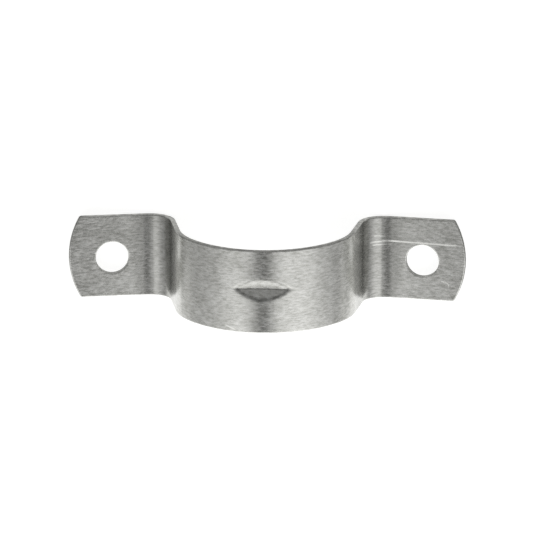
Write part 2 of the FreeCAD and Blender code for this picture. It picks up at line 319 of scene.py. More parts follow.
def add_metal(
    tree: Tree, colour: Socket, roughness: Socket | float, height: Socket, relief: float
) -> None:
    """Add a bare metal's surface.

    Args:
        tree: The material's node tree.
        colour: What it tints its reflections with.
        roughness: How soft its reflections are.
        height: The pattern that its fine relief follows, from 0 to 1.
        relief: How high that relief is.
    """
    bump = add_node(
        tree, "ShaderNodeBump", None, {"Strength": 1.0, "Distance": relief, "Height": height}
    )
    inputs = {
        "Base Color": colour,
        "Metallic": 1.0,
        "Roughness": roughness,
        "Normal": bump.outputs[0],
    }
    add_surface(tree, add_node(tree, "ShaderNodeBsdfPrincipled", None, inputs).outputs[0])


def select_parts(piece: bpy.types.Object, kind: Part, wanted: Callable[..., bool]) -> None:
    """Select the faces or the edges that pass a test, in edit mode.

    Args:
        piece: The object being edited.
        kind: Which parts are tested.
        wanted: The test, which takes one of them.
    """
    bpy.ops.mesh.select_mode(type=kind.value)
    bpy.ops.mesh.select_all(action="DESELECT")
    mesh = bmesh.from_edit_mesh(piece.data)
    for part in mesh.faces if kind is Part.FACE else mesh.edges:
        part.select_set(wanted(part))
    bmesh.update_edit_mesh(piece.data)


def outward(slope: float) -> Vector:
    """Return the way off the strap's outer face, where the sheet slopes down towards +X.

    Args:
        slope: How steeply it slopes, 0 at the top of the crown.

    Returns:
        A unit vector.
    """
    return Vector((math.sin(slope), 0.0, math.cos(slope)))


def smooth_maximum(value: float, softness: float) -> float:
    """Return the larger of a value and nought, rounded where the two meet.

    Args:
        value: The value to keep above nought.
        softness: How far from nought the rounding reaches.

    Returns:
        The rounded maximum.
    """
    share = min(max(0.5 + 0.5 * value / softness, 0.0), 1.0)
    return value * share + softness * share * (1.0 - share)


@dataclass
class PressedDart:
    """The dart that a punch presses into the crown, so that the strap bites on the conduit."""

    depth: float = 1.6 * MM
    width: float = 6.0 * MM
    valley_curve: float = 75.0 * MM
    offset: float = 0.7 * MM
    valley_radius: float = 0.1 * MM
    crest_radius: float = 1.0 * MM
    rim_softness: float = 0.45 * MM
    grid: float = 0.25 * MM
    margin: float = 2.6 * MM

    def half_length(self, crown_radius: float) -> float:
        """Return how far the dart reaches from the middle of the crown, each way.

        Args:
            crown_radius: Radius of the outer face.

        Returns:
            The reach along X, with the margin that its rim fades out in.
        """
        closing = 0.5 / crown_radius + 0.5 / self.valley_curve
        return math.sqrt(self.depth / closing) + self.margin

    def drop(self, x: float, y: float, crown_radius: float, face: Face) -> float:
        """Return how far the punch pushes a point of the crown in.

        Args:
            x: Place along the strap.
            y: Place across the strip.
            crown_radius: Radius of the outer face.
            face: The face of the sheet that the point is on.

        Returns:
            The distance that the point moves towards the conduit.
        """
        arch_fall = crown_radius - math.sqrt(crown_radius**2 - x**2)
        valley_rise = x**2 / (2 * self.valley_curve)
        rounding = self.valley_radius if face is Face.OUTER else self.crest_radius
        slope = 2 * self.depth / self.width
        flank = slope * (math.hypot(y - self.offset, rounding) - rounding)
        return smooth_maximum(self.depth - arch_fall - valley_rise - flank, self.rim_softness)


@dataclass
class ConduitStrap:
    """The strap, folded as a press brake would: a strip turned about one bend after the other."""

    thickness: float = 1.5 * MM
    crown_radius: float = 28.0 * MM
    crown_reach: float = math.radians(50.5)
    shoulder_radius: float = 18.2 * MM
    leg_slope: float = math.radians(78.6)
    leg_length: float = 9.0 * MM
    foot_radius: float = 7.1 * MM
    foot_core_radius: float = 6.0 * MM
    foot_lead_radius: float = 16.0 * MM
    foot_lead: float = math.radians(11.0)
    ear_rise: float = math.radians(8.8)
    hole_from_bend: float = 10.0 * MM
    tip_from_hole: float = 13.0 * MM
    tip_radius: float = 25.4 * MM
    corner_radius: float = 0.5 * MM
    drawn_edge: float = 0.36 * MM
    burred_edge: float = 0.12 * MM
    crown_step: float = 0.4 * MM
    bend_step: float = math.radians(2.0)
    tip_facets: int = 32
    corner_facets: int = 4
    hole_facets: int = 96
    drawn_facets: int = 4
    burred_facets: int = 2
    dart: PressedDart = field(default_factory=PressedDart)

    def __post_init__(self) -> None:
        """Take width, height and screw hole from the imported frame, and place the right half."""
        low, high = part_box(NODE)
        self.width = high.y - low.y
        self.top = high.z
        mounts = frame["record"]["mounts"]
        hole = next(mount for mount in mounts if mount["name"] == "screw_hole_right")
        self.hole_centre = Vector(hole["pos_m"])
        self.hole_radius = hole["dims"]["r_mm"] * MM
        self.crown_centre = Vector((0.0, 0.0, self.top - self.thickness - self.crown_radius))
        self.shoulder_centre = self.crown_centre + outward(self.crown_reach) * (
            self.crown_radius - self.shoulder_radius
        )
        self.off_leg = outward(self.leg_slope)
        self.down_leg = Vector((math.cos(self.leg_slope), 0.0, -math.sin(self.leg_slope)))
        self.leg_top = self.shoulder_centre + self.off_leg * self.shoulder_radius
        self.along_ear = Vector((math.cos(self.ear_rise), 0.0, math.sin(self.ear_rise)))
        self.off_ear = Vector((-math.sin(self.ear_rise), 0.0, math.cos(self.ear_rise)))

    def build(self) -> bpy.types.Object:
        """Model the whole strap.

        Returns:
            The finished piece.
        """
        half = self._fold_half()
        self._round_tip(half)
        self._pierce_hole(half)
        self._mirror(half)
        self._press_dart(half)
        self._break_edges(half)
        self._finish(half)
        self._dress(half)
        return half

    def _fold_half(self) -> bpy.types.Object:
        """Draw the strip's section at the crown, then turn and push it out to the ear's tip.

        Returns:
            Half of the strap, still square at its tip.
        """
        piece = self._draw_section()
        bpy.ops.object.mode_set(mode="EDIT")
        bpy.ops.mesh.select_all(action="SELECT")
        crown_steps = round(self.crown_reach * self.crown_radius / self.crown_step)
        self._bend(self.crown_centre, self.crown_reach, crown_steps)
        shoulder_turn = self.leg_slope - self.crown_reach
        self._bend(self.shoulder_centre, shoulder_turn, round(shoulder_turn / self.bend_step))
        spare_leg, spare_ear = self._foot_tangents()
        leg = self.leg_length + spare_leg
        self._push(self.down_leg * leg)

        leg_foot = self.leg_top + self.down_leg * leg
        core_centre = leg_foot + self.off_leg * (self.thickness + self.foot_core_radius)
        core_turn = self.leg_slope + self.ear_rise - self.foot_lead
        self._bend(core_centre, -core_turn, round(core_turn / self.bend_step))
        off_lead = outward(self.leg_slope - core_turn)
        lead_centre = core_centre + off_lead * (self.foot_lead_radius - self.foot_core_radius)
        self._bend(lead_centre, -self.foot_lead, round(self.foot_lead / self.bend_step))
        self._push(self.along_ear * (self.hole_from_bend + self.tip_from_hole + spare_ear))

        select_parts(piece, Part.FACE, lambda face: abs(face.calc_center_median().x) < NEAR)
        bpy.ops.mesh.delete(type="FACE")
        bpy.ops.object.mode_set(mode="OBJECT")
        return piece

    def _draw_section(self) -> bpy.types.Object:
        """Draw the strip's cross-section at the top of the crown, and note its outer face.

        Returns:
            The section, a single face across the strip.
        """
        middle = self.top - self.thickness / 2
        bpy.ops.object.select_all(action="DESELECT")
        bpy.ops.mesh.primitive_plane_add(size=1.0, location=(0.0, 0.0, middle))
        piece = bpy.context.object
        piece.name = piece.data.name = "galvanised_strap"
        piece.scale = (self.thickness, self.width, 1.0)
        piece.rotation_euler = Euler((0.0, math.pi / 2, 0.0))
        bpy.ops.object.transform_apply(location=True, rotation=True, scale=True)
        outer = piece.vertex_groups.new(name=Face.OUTER.value)
        outer.add([v.index for v in piece.data.vertices if v.co.z > middle], 1.0, "REPLACE")
        return piece

    def _foot_tangents(self) -> tuple[float, float]:
        """Work out what the foot's two arcs leave of the leg and the ear beside one plain arc.

        The tool leaves the foot tight at the leg and easy where it runs out into the ear.

        Returns:
            How much longer the straight leg and the straight ear are, negative if shorter.
        """
        turn = self.leg_slope + self.ear_rise
        core = turn - self.foot_lead
        across = self.foot_core_radius * (1 - math.cos(core))
        across += self.foot_lead_radius * (math.cos(core) - math.cos(turn))
        along = self.foot_core_radius * math.sin(core)
        along += self.foot_lead_radius * (math.sin(turn) - math.sin(core))
        plain = self.foot_radius * math.tan(turn / 2)
        return plain - (along - across / math.tan(turn)), plain - across / math.sin(turn)

    def _bend(self, centre: Vector, turn: float, steps: int) -> None:
        """Turn the selected section about a bend's centre, over the top towards +X.

        Args:
            centre: A point on the bend's axis, which runs across the strip.
            turn: The angle to turn by, negative to turn back.
            steps: How many facets the bend is made of.
        """
        bpy.ops.mesh.spin(steps=steps, angle=-turn, center=centre, axis=ACROSS)

    def _push(self, way: Vector) -> None:
        """Push the selected section straight on.

        Args:
            way: Direction and length of the straight part.
        """
        bpy.ops.mesh.extrude_region_move(TRANSFORM_OT_translate={"value": way})

    def _ear_place(self, point: Vector) -> Vector:
        """Return a point's place seen square on the right ear.

        Args:
            point: A point in the part's frame.

        Returns:
            Distance from the hole's centre line along the ear, across it, and off its sheet.
        """
        offset = point - self.hole_centre
        return Vector((offset.dot(self.along_ear), point.y, offset.dot(self.off_ear)))

    def _round_tip(self, piece: bpy.types.Object) -> None:
        """Round the ear's end, as the blanking die cuts it, and its two corners.

        Args:
            piece: The half strap.
        """
        bpy.ops.object.mode_set(mode="EDIT")

        def ends_ear(edge: bmesh.types.BMEdge) -> bool:
            """Tell whether an edge lies across the very end of the ear."""
            first, second = (self._ear_place(vert.co) for vert in edge.verts)
            at_end = min(first.x, second.x) > self.tip_from_hole - NEAR
            return at_end and abs(first.y - second.y) > NEAR

        select_parts(piece, Part.EDGE, ends_ear)
        bpy.ops.mesh.subdivide(number_cuts=self.tip_facets - 1)
        mesh = bmesh.from_edit_mesh(piece.data)
        for vert in mesh.verts:
            if self._ear_place(vert.co).x > self.tip_from_hole - NEAR:
                sagitta = self.tip_radius - math.sqrt(self.tip_radius**2 - vert.co.y**2)
                vert.co -= self.along_ear * sagitta
        bmesh.update_edit_mesh(piece.data)

        def is_corner(edge: bmesh.types.BMEdge) -> bool:
            """Tell whether an edge is a corner of the blank, through the sheet."""
            first, second = (self._ear_place(vert.co) for vert in edge.verts)
            through = abs(first.z - second.z) > self.thickness / 2
            at_side = abs(abs(first.y) - self.width / 2) < NEAR
            return through and at_side and first.x > 0

        select_parts(piece, Part.EDGE, is_corner)
        bpy.ops.mesh.bevel(
            offset=self.corner_radius, segments=self.corner_facets, affect="EDGES"
        )
        bpy.ops.object.mode_set(mode="OBJECT")

    def _pierce_hole(self, piece: bpy.types.Object) -> None:
        """Punch the screw hole through the ear.

        Args:
            piece: The half strap.
        """
        bpy.ops.object.select_all(action="DESELECT")
        bpy.ops.mesh.primitive_cylinder_add(
            vertices=self.hole_facets,
            radius=self.hole_radius,
            depth=self.thickness * PUNCH_SHEETS,
            location=self.hole_centre,
            rotation=Euler((0.0, -self.ear_rise, 0.0)),
        )
        punch = bpy.context.object
        bpy.ops.object.select_all(action="DESELECT")
        bpy.context.view_layer.objects.active = piece
        piece.select_set(True)
        cut = piece.modifiers.new("screw_hole", "BOOLEAN")
        cut.operation = "DIFFERENCE"
        cut.solver = "EXACT"
        cut.object = punch
        bpy.ops.object.modifier_apply(modifier=cut.name)
        bpy.data.objects.remove(punch, do_unlink=True)

    def _mirror(self, piece: bpy.types.Object) -> None:
        """Mirror the half into the whole strap.

        Args:
            piece: The half strap.
        """
        mirror = piece.modifiers.new("other_half", "MIRROR")
        mirror.use_axis[0] = True
        mirror.merge_threshold = SEAM_GAP
        bpy.ops.object.modifier_apply(modifier=mirror.name)
        bpy.ops.object.mode_set(mode="EDIT")
        bpy.ops.mesh.select_all(action="SELECT")
        bpy.ops.mesh.normals_make_consistent(inside=False)
        bpy.ops.object.mode_set(mode="OBJECT")

    def _press_dart(self, piece: bpy.types.Object) -> None:
        """Cut the crown's faces finely where the punch lands, then push them in.

        Args:
            piece: The whole strap.
        """
        outer_radius = self.crown_radius + self.thickness
        reach = self.dart.half_length(outer_radius)
        side = self.dart.width / 2 + self.dart.margin
        cuts = round(2 * side / self.dart.grid)
        bpy.ops.object.mode_set(mode="EDIT")

        def is_pressed(face: bmesh.types.BMFace) -> bool:
            """Tell whether a face of the crown lies where the punch lands."""
            return abs(face.calc_center_median().x) < reach and abs(face.normal.y) < ACROSS_LIMIT

        for number in range(cuts + 1):
            y = self.dart.offset - side + number * 2 * side / cuts
            select_parts(piece, Part.FACE, is_pressed)
            bpy.ops.mesh.bisect(plane_co=(0.0, y, 0.0), plane_no=ACROSS)
        bpy.ops.object.mode_set(mode="OBJECT")
        outer = piece.vertex_groups[Face.OUTER.value].index
        for vert in piece.data.vertices:
            inside = abs(vert.co.x) < reach and abs(vert.co.y - self.dart.offset) < side
            if inside and vert.co.z > self.top / 2:
                weights = {group.group: group.weight for group in vert.groups}
                face = Face.OUTER if weights.get(outer, 0.0) > IN_GROUP else Face.INNER
                vert.co.z -= self.dart.drop(vert.co.x, vert.co.y, outer_radius, face)

    def _break_edges(self, piece: bpy.types.Object) -> None:
        """Round the sheared edges: drawn over on the outer face, and lightly on the burred one.

        Args:
            piece: The whole strap.
        """
        for face, radius, facets in (
            (Face.OUTER, self.drawn_edge, self.drawn_facets),
            (Face.INNER, self.burred_edge, self.burred_facets),
        ):
            bpy.ops.object.mode_set(mode="EDIT")
            select_parts(piece, Part.EDGE, self._sheared_edge_test(face))
            bpy.ops.mesh.bevel(offset=radius, segments=facets, affect="EDGES", clamp_overlap=True)
            bpy.ops.object.mode_set(mode="OBJECT")

    def _sheared_edge_test(self, face: Face) -> Callable[[bmesh.types.BMEdge], bool]:
        """Make the test for a sheared edge on one face of the sheet.

        Args:
            face: The face that the edge borders.

        Returns:
            A test that takes an edge.
        """

        def is_sheared(edge: bmesh.types.BMEdge) -> bool:
            """Tell whether an edge is a sheared one of that face."""
            if len(edge.link_faces) != 2 or edge.calc_face_angle(0.0) < SHEARED_TURN:
                return False
            return all(self._side_of(vert.co) is face for vert in edge.verts)

        return is_sheared

    def _side_of(self, point: Vector) -> Face:
        """Tell which face of the sheet a point of its rim is on.

        Args:
            point: A point on the strap's rim.

        Returns:
            The face that is nearer.
        """
        place = Vector((abs(point.x), point.y, point.z))
        off_foot = self.off_leg * (self.thickness + self.foot_radius)
        foot_centre = self.leg_top + self.down_leg * self.leg_length + off_foot
        half = self.thickness / 2

        def turn_of(centre: Vector) -> float:
            """Return the angle from straight up to the place, seen from a bend's centre."""
            return math.atan2(place.x - centre.x, place.z - centre.z)

        def away_from(centre: Vector) -> float:
            """Return the distance of the place from a bend's axis."""
            return math.hypot(place.x - centre.x, place.z - centre.z)

        from_leg_top = place - self.leg_top
        if from_leg_top.dot(self.down_leg) > self.leg_length:
            if place.x > foot_centre.x + self.foot_radius * math.sin(self.ear_rise):
                is_outer = self._ear_place(place).z > 0
            else:
                is_outer = away_from(foot_centre) < self.foot_radius + half
        elif from_leg_top.dot(self.down_leg) > 0:
            is_outer = from_leg_top.dot(self.off_leg) > half
        elif turn_of(self.crown_centre) > self.crown_reach:
            is_outer = away_from(self.shoulder_centre) > self.shoulder_radius + half
        else:
            is_outer = away_from(self.crown_centre) > self.crown_radius + half
        return Face.OUTER if is_outer else Face.INNER

    def _finish(self, piece: bpy.types.Object) -> None:
        """Shade the bends smooth, keep the flats flat, and drop what only helped the modelling.

        Args:
            piece: The whole strap.
        """
        bpy.ops.object.mode_set(mode="EDIT")
        bpy.ops.mesh.select_all(action="SELECT")
        bpy.ops.mesh.remove_doubles(threshold=DOUBLE_GAP)
        bpy.ops.mesh.normals_make_consistent(inside=False)
        bpy.ops.object.mode_set(mode="OBJECT")
        bpy.ops.object.shade_smooth_by_angle(angle=SMOOTH_TURN)
        weighted = piece.modifiers.new("flat_faces_lead", "WEIGHTED_NORMAL")
        weighted.mode = "FACE_AREA"
        weighted.keep_sharp = True
        bpy.ops.object.modifier_apply(modifier=weighted.name)
        piece.vertex_groups.clear()

    def _dress(self, piece: bpy.types.Object) -> None:
        """Give the rolled faces, the sheared outline and the punched holes their materials.

        Args:
            piece: The whole strap.
        """
        piece.data.materials.clear()
        for finish in (GalvanisedSteel(), CUT_EDGE, HOLE_WALL):
            piece.data.materials.append(finish.material())
        for face in piece.data.polygons:
            face.material_index = self._surface_of(face).value

    def _surface_of(self, face: bpy.types.MeshPolygon) -> Surface:
        """Tell what made a face of the mesh.

        Args:
            face: A face of the finished strap.

        Returns:
            The kind of surface.
        """
        half = math.copysign(1.0, face.center.x)
        place = Vector((abs(face.center.x), face.center.y, face.center.z))
        facing = Vector((face.normal.x * half, face.normal.y, face.normal.z))
        reach = self.hole_radius * HOLE_REACH
        on_ear = place.x > self.hole_centre.x - reach
        if on_ear and abs(facing.dot(self.off_ear)) < math.cos(CUT_TURN):
            in_hole = (place - self.hole_centre).length < reach
            return Surface.PUNCHED if in_hole else Surface.SHEARED
        return Surface.SHEARED if abs(facing.y) > math.cos(SIDE_TURN) else Surface.ROLLED


@dataclass(frozen=True)
class Scratch:
    """A straight scratch on the outer face, down to brighter zinc.

    It fades between two shares of its width off its line, and of its length off its middle.
    """

    start: Range
    end: Range
    width: float
    strength: float
    edge_fade: Range = (0.25, 0.75)
    end_fade: Range = (0.45, 0.5)

    def mask(self, tree: Tree, coordinates: Socket) -> Socket:
        """Add the nodes that give the scratch's strength along it, and 0 off it.

        Args:
            tree: The material's node tree.
            coordinates: Object coordinates.

        Returns:
            The mask's socket.
        """
        run = Vector(self.end) - Vector(self.start)
        inputs = {
            "Vector": coordinates,
            "Location": (*self.start, 0.0),
            "Rotation": (0.0, 0.0, math.atan2(run.y, run.x)),
        }
        onto_line = add_node(tree, "ShaderNodeMapping", {"vector_type": "TEXTURE"}, inputs)
        place = split(tree, onto_line.outputs[0])
        off_line = calculate(tree, Sum.SIZE, place.outputs["Y"])
        edges = (self.width * self.edge_fade[0], self.width * self.edge_fade[1])
        across = stretch(tree, off_line, edges, (self.strength, 0.0), Curve.SMOOTH)
        from_middle = calculate(tree, Sum.SUBTRACT, place.outputs["X"], run.length / 2)
        off_middle = calculate(tree, Sum.SIZE, from_middle)
        ends = (run.length * self.end_fade[0], run.length * self.end_fade[1])
        along = stretch(tree, off_middle, ends, (1.0, 0.0), Curve.SMOOTH)
        return calculate(tree, Sum.MULTIPLY, across, along)


@dataclass(frozen=True)
class GalvanisedSteel:
    """Hot-dip galvanised sheet, skin-passed between rolls before it is blanked and folded.

    The rolls leave a satin face with fine lines along the strip and a fine grain of zinc, so it
    mirrors the room softly. It picks up light scratches on its way through the press.

    The eye gets a soft, streaky grey that turns bright and dark with the bends. Shade is painted
    into its colour: a little over the crown, much more over the legs and the feet. Rolled lines
    and grain are really too fine to show, so both are drawn as coarse as they need to be.
    """

    dark: str = "9a9a95"
    light: str = "d5d5d2"
    roughness: float = 0.27
    roughness_spread: float = 0.10
    line_length: float = 1.7 * MM
    line_width: float = 0.52 * MM
    line_weight: float = 2.2
    grain_weight: float = 0.6
    grain: float = 0.42 * MM
    cloud: float = 5.0 * MM
    fine_detail: float = 1.5
    cloud_detail: float = 2.0
    noise_roughness: float = 0.6
    tone_range: Range = (1.2, 2.6)
    fine_range: Range = (0.8, 2.0)
    relief: float = 0.008 * MM
    # Painted shade over the crown and the bends: distance from the middle of the strap, and what the
    # colour is multiplied by there.
    painted_bend_shade: tuple[Range, ...] = (
        (24.5 * MM, 0.935),
        (28.3 * MM, 0.77),
        (30.4 * MM, 0.70),
        (33.0 * MM, 0.755),
        (37.2 * MM, 0.76),
        (41.5 * MM, 1.0),
    )
    bare_zinc: str = "f6f6f2"
    scratches: tuple[Scratch, ...] = (
        Scratch((34.0 * MM, 5.35 * MM), (57.3 * MM, 4.9 * MM), 0.48 * MM, 1.0),
        Scratch((30.8 * MM, 4.9 * MM), (36.0 * MM, 5.1 * MM), 0.5 * MM, 0.45),
        Scratch((31.5 * MM, 4.0 * MM), (37.5 * MM, 4.3 * MM), 0.4 * MM, 0.4),
        Scratch((32.0 * MM, 6.9 * MM), (35.5 * MM, 6.7 * MM), 0.4 * MM, 0.35),
        Scratch((52.2 * MM, -6.5 * MM), (54.4 * MM, -7.2 * MM), 0.4 * MM, 0.6),
        Scratch((54.2 * MM, -7.1 * MM), (54.7 * MM, -8.2 * MM), 0.4 * MM, 0.5),
        Scratch((-11.2 * MM, -10.9 * MM), (-8.0 * MM, -12.1 * MM), 0.4 * MM, 0.35),
    )

    def material(self) -> bpy.types.Material:
        """Make the material.

        Returns:
            Galvanised sheet steel, on Object coordinates.
        """
        material = empty_material("galvanised_sheet_steel")
        tree = material.node_tree
        coordinates = object_coordinates(tree)

        line = (self.line_length, self.line_width, self.line_length)
        lines = self._noise(tree, coordinates, line, self.fine_detail)
        grain = self._noise(tree, coordinates, (self.grain,) * 3, self.fine_detail)
        cloud = self._noise(tree, coordinates, (self.cloud,) * 3, self.cloud_detail)
        strong_lines = stretch(tree, lines, (0.0, 1.0), (0.0, self.line_weight))
        weak_grain = stretch(tree, grain, (0.0, 1.0), (0.0, self.grain_weight))
        fine = calculate(tree, Sum.ADD, strong_lines, weak_grain)
        shade = stretch(tree, calculate(tree, Sum.ADD, fine, cloud), self.tone_range)

        dark, light = linear_colour(self.dark), linear_colour(self.light)
        colour = mix(tree, Mixed.COLOUR, shade, dark, light)
        # Painted shade: the colour is multiplied down over the crown and the bends of leg and foot.
        painted_bend_shade = add_node(
            tree,
            "ShaderNodeVectorMath",
            {"operation": "SCALE"},
            {0: colour, "Scale": self._painted_bend_shade_factor(tree, coordinates)},
        )
        masks = [scratch.mask(tree, coordinates) for scratch in self.scratches]
        marks = masks[0]
        for mask in masks[1:]:
            marks = calculate(tree, Sum.LARGER, marks, mask)
        bare_zinc = linear_colour(self.bare_zinc)
        scratched = mix(tree, Mixed.COLOUR, marks, painted_bend_shade.outputs[0], bare_zinc)

        spread = self.roughness_spread / 2
        softness = (self.roughness - spread, self.roughness + spread)
        roughness = stretch(tree, fine, self.fine_range, softness)
        add_metal(tree, scratched, roughness, fine, self.relief)
        return material

    def _painted_bend_shade_factor(self, tree: Tree, coordinates: Socket) -> Socket:
        """Paint shade into the colour: a little over the crown, much more over the tight bends of
        leg and foot.

        Args:
            tree: The material's node tree.
            coordinates: Object coordinates.

        Returns:
            What the colour is multiplied by, 1 on the ears.
        """
        out = calculate(tree, Sum.SIZE, split(tree, coordinates).outputs["X"])
        last = self.painted_bend_shade[-1][0]
        stops = [(distance / last, tone) for distance, tone in self.painted_bend_shade]
        return add_ramp(tree, stretch(tree, out, (0.0, last)), stops, RampCurve.EASE)

    def _noise(
        self, tree: Tree, coordinates: Socket, size: tuple[float, float, float], detail: float
    ) -> Socket:
        """Add a noise pattern whose patches have a real size along each axis.

        Args:
            tree: The material's node tree.
            coordinates: Object coordinates.
            size: How long a patch is along X, Y and Z.
            detail: How many finer patterns lie over the first.

        Returns:
            The noise's socket, about 0.5 on average.
        """
        scale = tuple(1.0 / length for length in size)
        scaled = add_node(tree, "ShaderNodeMapping", None, {"Vector": coordinates, "Scale": scale})
        inputs = {
            "Vector": scaled.outputs[0],
            "Scale": 1.0,
            "Detail": detail,
            "Roughness": self.noise_roughness,
        }
        return add_node(tree, "ShaderNodeTexNoise", None, inputs).outputs["Fac"]


@dataclass(frozen=True)
class ShearedSteel:
    """The sheet's cut edge, torn open by the die: bare steel with zinc smeared over it in patches.

    The eye gets a dull, mottled grey. The tearing is really too fine to show, so its grain is
    drawn as coarse as it needs to be.
    """

    name: str
    bare: str
    smeared: str
    roughness: float
    tear: float = 0.3 * MM
    patch: float = 1.1 * MM
    detail: float = 2.0
    smear_range: Range = (0.30, 0.70)
    relief: float = 0.02 * MM

    def material(self) -> bpy.types.Material:
        """Make the material.

        Returns:
            Sheared steel, on Object coordinates.
        """
        material = empty_material(self.name)
        tree = material.node_tree
        coordinates = object_coordinates(tree)
        torn = self._noise(tree, coordinates, self.tear)
        patches = self._noise(tree, coordinates, self.patch)
        smear = stretch(tree, patches, self.smear_range, curve=Curve.SMOOTH)
        bare, smeared = linear_colour(self.bare), linear_colour(self.smeared)
        colour = mix(tree, Mixed.COLOUR, smear, bare, smeared)
        add_metal(tree, colour, self.roughness, torn, self.relief)
        return material

    def _noise(self, tree: Tree, coordinates: Socket, size: float) -> Socket:
        """Add a noise pattern.

        Args:
            tree: The material's node tree.
            coordinates: Object coordinates.
            size: How long a patch is.

        Returns:
            The noise's socket, about 0.5 on average.
        """
        inputs = {"Vector": coordinates, "Scale": 1.0 / size, "Detail": self.detail}
        return add_node(tree, "ShaderNodeTexNoise", None, inputs).outputs["Fac"]


# The strip's long edges and tips: bright where zinc was drawn over them.
CUT_EDGE = ShearedSteel("sheared_steel_edge", bare="8c8c88", smeared="c6c6c2", roughness=0.34)
# The wall of the screw holes: the punch tears it rougher; its darker colour is partly the torn steel
# and partly painted shade of the shadowed hole.
HOLE_WALL = ShearedSteel("punched_steel_hole_painted_shade", bare="62625e", smeared="7a7a76", roughness=0.45)


@dataclass(frozen=True)
class Glow:
    """How bright it is at one place: an angle round the Y axis, or a distance along it."""

    place: float
    level: float


@dataclass(frozen=True)
class Studio:
    """A round light tent along Y: a soft panel on each side, dark where they part over the strap.

    The panels fade towards +Y, where the camera stands. A small white table lies in the tent.
    """

    walls: tuple[Glow, ...] = (
        Glow(-180.0, 0.44),
        Glow(-75.0, 0.41),
        Glow(-52.0, 0.60),
        Glow(-38.0, 0.82),
        Glow(-24.0, 0.88),
        Glow(-13.0, 0.64),
        Glow(-4.4, 0.03),
        Glow(2.0, 0.04),
        Glow(11.6, 0.82),
        Glow(21.0, 0.91),
        Glow(50.0, 0.91),
        Glow(62.0, 0.73),
        Glow(85.0, 0.40),
        Glow(100.0, 0.36),
        Glow(180.0, 0.38),
    )
    tent_facets: int = 96
    tent_radius: float = 330 * MM
    tent_front: float = -700 * MM
    tent_back: float = 150 * MM
    tent_gain: float = 1.25
    gap_level: float = 0.08
    gap_fades_at: float = -240 * MM
    gap_ends_at: float = -480 * MM
    end_light: float = 1.1
    full_light_at: float = -195 * MM
    shade_at: float = 5 * MM
    full_light: float = 1.82
    shade: float = 0.46
    far_light: float = 1.65
    far_shade: float = 0.46
    room_fade: Range = (-0.6, 0.6)
    table_size: float = 300 * MM
    table_colour: str = "a8a8a6"
    table_white: float = 0.82
    table_light: tuple[Glow, ...] = (
        Glow(-80.0 * MM, 1.00),
        Glow(10.0 * MM, 1.00),
        Glow(13.0 * MM, 0.30),
        Glow(15.5 * MM, 0.58),
        Glow(19.5 * MM, 0.52),
        Glow(22.5 * MM, 0.05),
    )
    side_light: tuple[Glow, ...] = (
        Glow(-45.0 * MM, 0.66),
        Glow(-26.0 * MM, 0.50),
        Glow(-8.0 * MM, 0.06),
        Glow(60.0 * MM, 0.04),
    )
    side_from: Range = (50 * MM, 60 * MM)
    mirrored_gain: float = 1.25

    def build(self) -> None:
        """Put up the tent, light the room beyond it and lay the table."""
        self._light_room()
        self._put_up_tent()
        self._lay_table()
        bpy.context.scene.view_settings.view_transform = "Standard"

    def _light_room(self) -> None:
        """Make the world: light beyond the tent's far end, shade at the camera's end."""
        world = bpy.data.worlds.new("studio_room")
        world.use_nodes = True
        bpy.context.scene.world = world
        tree = world.node_tree
        tree.nodes.clear()
        place = add_node(tree, "ShaderNodeTexCoord")
        way = split(tree, place.outputs["Generated"])
        lit = (self.far_light, self.far_shade)
        room = stretch(tree, way.outputs["Y"], self.room_fade, lit, Curve.SMOOTH)
        path = add_node(tree, "ShaderNodeLightPath")
        strength = calculate(tree, Sum.LARGER, path.outputs["Is Camera Ray"], room)
        inputs = {"Color": (1.0, 1.0, 1.0, 1.0), "Strength": strength}
        light = add_node(tree, "ShaderNodeBackground", None, inputs)
        add_node(tree, "ShaderNodeOutputWorld", None, {"Surface": light.outputs[0]})

    def _put_up_tent(self) -> None:
        """Make the tent's wall, which lights the strap and which no camera sees."""
        bpy.ops.object.select_all(action="DESELECT")
        bpy.ops.mesh.primitive_cylinder_add(
            vertices=self.tent_facets,
            radius=self.tent_radius,
            depth=self.tent_back - self.tent_front,
            end_fill_type="NOTHING",
            location=(0.0, (self.tent_back + self.tent_front) / 2, 0.0),
            rotation=(math.pi / 2, 0.0, 0.0),
        )
        tent = bpy.context.object
        bpy.ops.object.transform_apply(location=True, rotation=True, scale=True)
        tent.name = tent.data.name = "light_tent"
        tent.visible_camera = False
        tent.data.materials.append(self._tent_fabric())

    def _tent_fabric(self) -> bpy.types.Material:
        """Make the tent's glowing fabric. The eye only sees it mirrored in the steel, as soft bands.

        Returns:
            A material that glows by its place round and along the tent.
        """
        material = empty_material("lit_tent_fabric")
        tree = material.node_tree
        way = split(tree, object_coordinates(tree))
        azimuth = calculate(tree, Sum.ANGLE, way.outputs["X"], way.outputs["Z"])
        turn = stretch(tree, azimuth, (-math.pi, math.pi))
        wall = self._ramp(tree, turn, self.walls, FULL_TURN_DEGREES)
        reach = (self.full_light_at, self.shade_at)
        lit = (self.full_light, self.shade)
        fade = stretch(tree, way.outputs["Y"], reach, lit, Curve.SMOOTH)
        above_gap = calculate(tree, Sum.SUBTRACT, wall, self.gap_level)
        strength = calculate(tree, Sum.MULTIPLY_ADD, above_gap, fade, self.gap_level)
        gap = (self.gap_fades_at, self.gap_ends_at)
        past_gap = stretch(tree, way.outputs["Y"], gap, curve=Curve.SMOOTH)
        to_end = mix(tree, Mixed.LEVEL, past_gap, strength, self.end_light)
        level = calculate(tree, Sum.MULTIPLY, to_end, self.tent_gain)
        glow = add_node(tree, "ShaderNodeEmission", None, {"Strength": level})
        add_surface(tree, glow.outputs[0])
        return material

